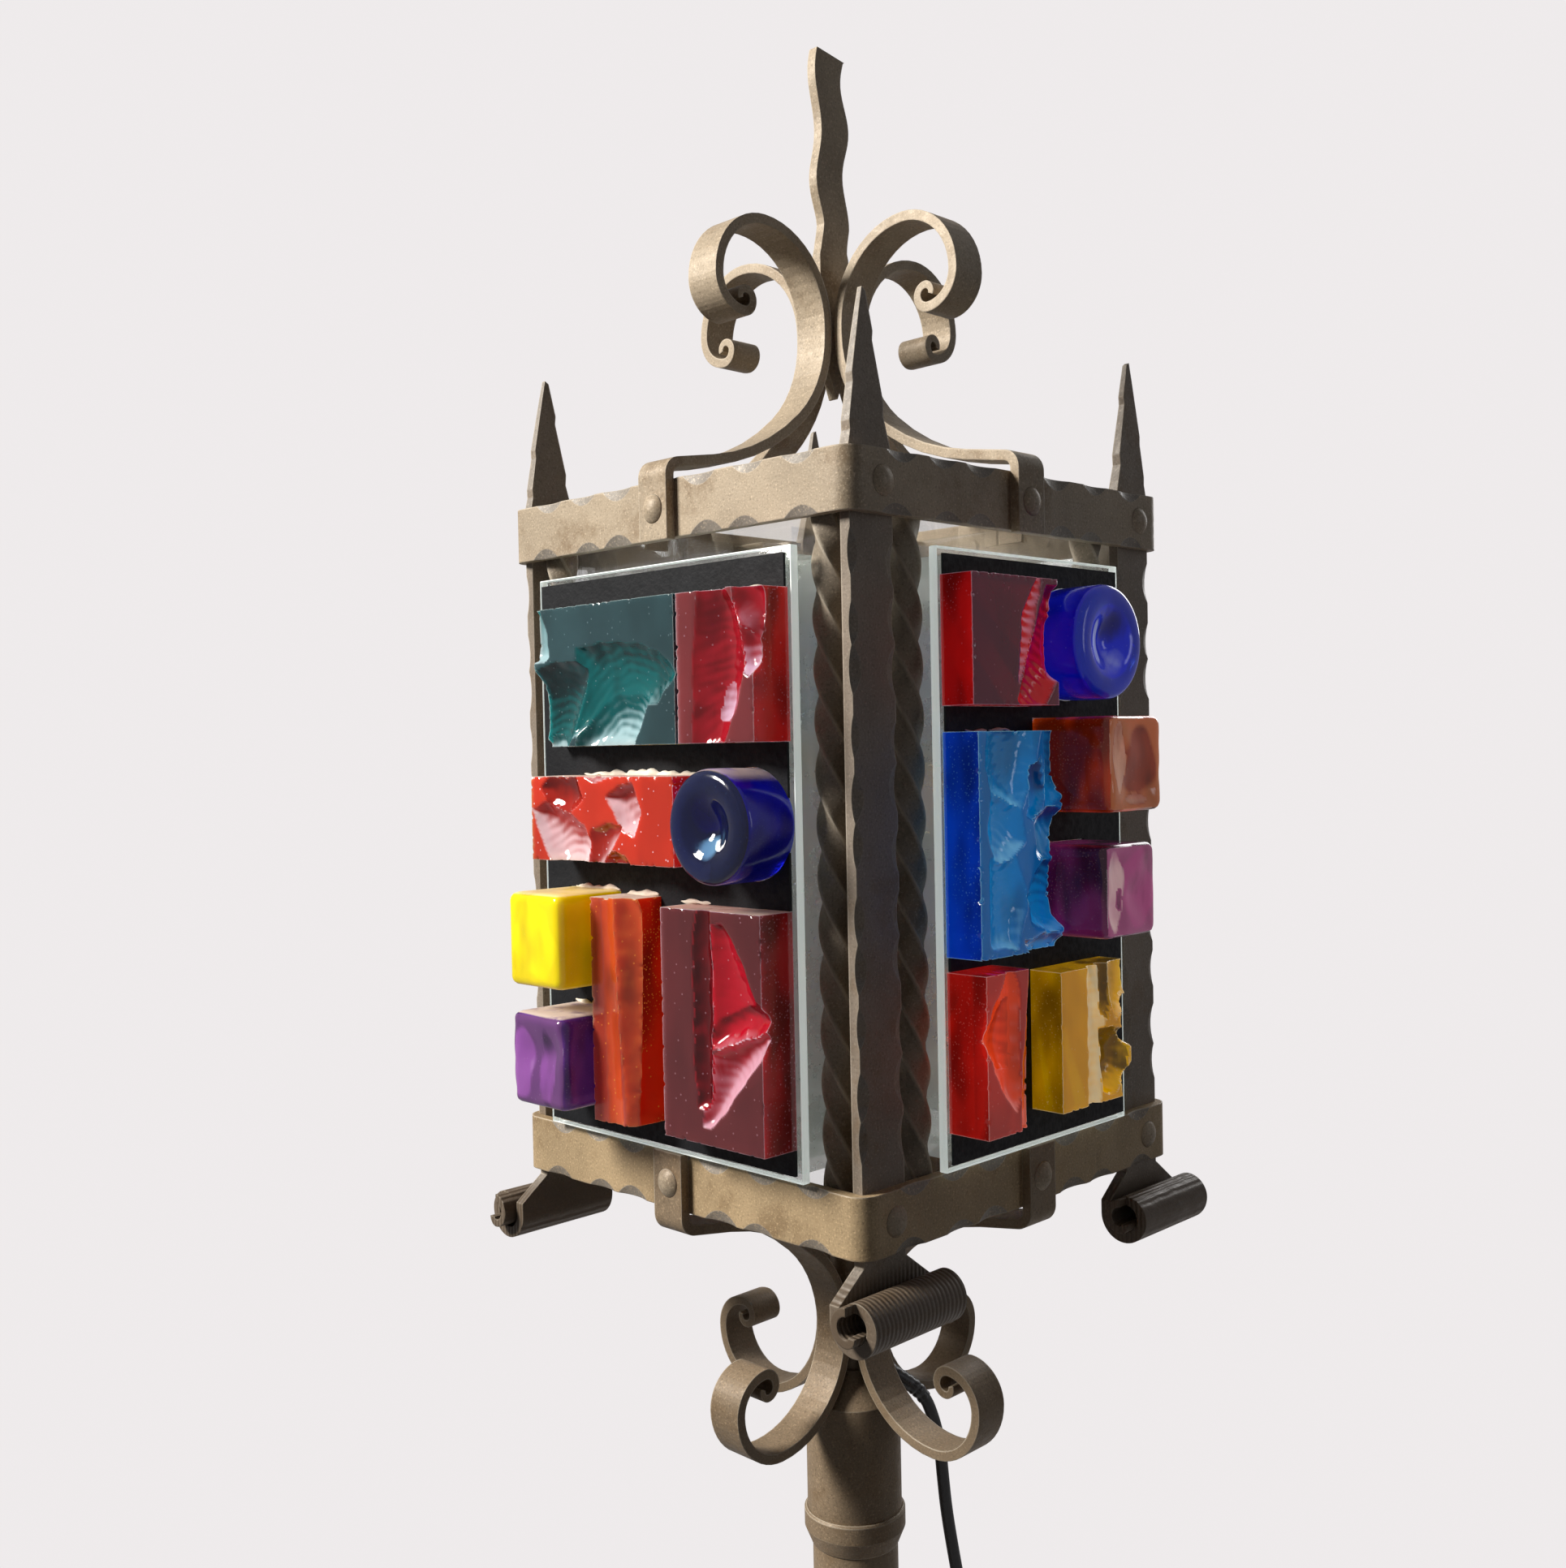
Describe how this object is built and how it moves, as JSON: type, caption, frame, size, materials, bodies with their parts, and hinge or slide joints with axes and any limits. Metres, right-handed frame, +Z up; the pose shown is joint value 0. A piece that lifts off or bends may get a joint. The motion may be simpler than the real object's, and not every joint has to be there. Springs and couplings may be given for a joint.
{
  "type": "lantern floor lamp",
  "caption": "Forged iron lantern set with thick chipped glass blocks, on a pole with four scroll legs, with a cord, foot switch and plug.",
  "frame": {"origin": "on the floor, under the pole's axis at the middle of the four feet", "axes": "+Z up along the pole, the lantern's four faces look along -Y, +X, +Y and -X"},
  "size_m": [0.3862, 0.3862, 1.7],
  "materials": {
    "amber_glass": "thick cast glass, rounded",
    "black_filling": "matte black filling compound",
    "black_plastic": "black moulded plastic",
    "blue_glass": "thick cast glass",
    "bulb_glass": "frosted bulb glass",
    "clear_glass": "clear float glass with a green tint",
    "cord_rubber": "black flexible cord",
    "darkred_glass": "thick cast glass, chipped",
    "forged_iron": "satin dark bronze paint over hammered iron",
    "olive_glass": "thick cast glass, chipped",
    "orange_glass": "thick cast glass, chipped",
    "pin_brass": "plain plug pins",
    "pink_glass": "thick cast glass, rounded",
    "purple_glass": "thick cast glass, rounded",
    "red_glass": "thick cast glass, chipped",
    "teal_glass": "thick cast glass, chipped",
    "yellow_glass": "thick cast glass, rounded"
  },
  "bodies": {
    "lamp": {"upper_band": "forged_iron", "lower_band": "forged_iron", "corner_post_1": "forged_iron", "corner_post_2": "forged_iron", "corner_post_3": "forged_iron", "corner_post_4": "forged_iron", "twist_bars": "forged_iron", "top_scroll_1": "forged_iron", "top_scroll_2": "forged_iron", "top_scroll_3": "forged_iron", "top_scroll_4": "forged_iron", "bottom_scroll_1": "forged_iron", "bottom_scroll_2": "forged_iron", "bottom_scroll_3": "forged_iron", "bottom_scroll_4": "forged_iron", "finial": "forged_iron", "rivets": "forged_iron", "glass_clips": "forged_iron", "glass_panes": "clear_glass", "spacer_frames": "clear_glass", "block_plates": "clear_glass", "grout": "black_filling", "front_teal_slab": "teal_glass", "front_red_slab": "red_glass", "front_orange_slab": "orange_glass", "front_blue_roundel": "blue_glass", "front_yellow_cube": "yellow_glass", "front_purple_cube": "purple_glass", "front_orange_bar": "orange_glass", "front_darkred_slab": "darkred_glass", "side_red_slab": "red_glass", "side_blue_roundel": "blue_glass", "side_blue_slab": "blue_glass", "side_amber_cube": "amber_glass", "side_pink_cube": "pink_glass", "side_red_block": "red_glass", "side_olive_block": "olive_glass", "rear_red_blocks": "darkred_glass", "rear_blue_blocks": "blue_glass", "rear_amber_blocks": "amber_glass", "core_pipe": "forged_iron", "socket_tube": "forged_iron", "collar": "forged_iron", "pole": "forged_iron", "hub": "forged_iron", "leg_1": "forged_iron", "leg_2": "forged_iron", "leg_3": "forged_iron", "leg_4": "forged_iron", "lampholder": "black_plastic", "bulb": "bulb_glass", "cord_bush": "cord_rubber", "cord": "cord_rubber", "cord_coil": "cord_rubber", "cord_tie": "cord_rubber", "switch_body": "black_plastic", "plug_body": "black_plastic", "plug_pins": "pin_brass"},
    "button": {"switch_button": "black_plastic"}
  },
  "joints": [
    {"name": "switch_press", "type": "slide", "parent": "lamp", "child": "button", "axis": [0, 0, -1], "range_m": [0, 0.003], "stiffness_N_per_m": 600}
  ]
}
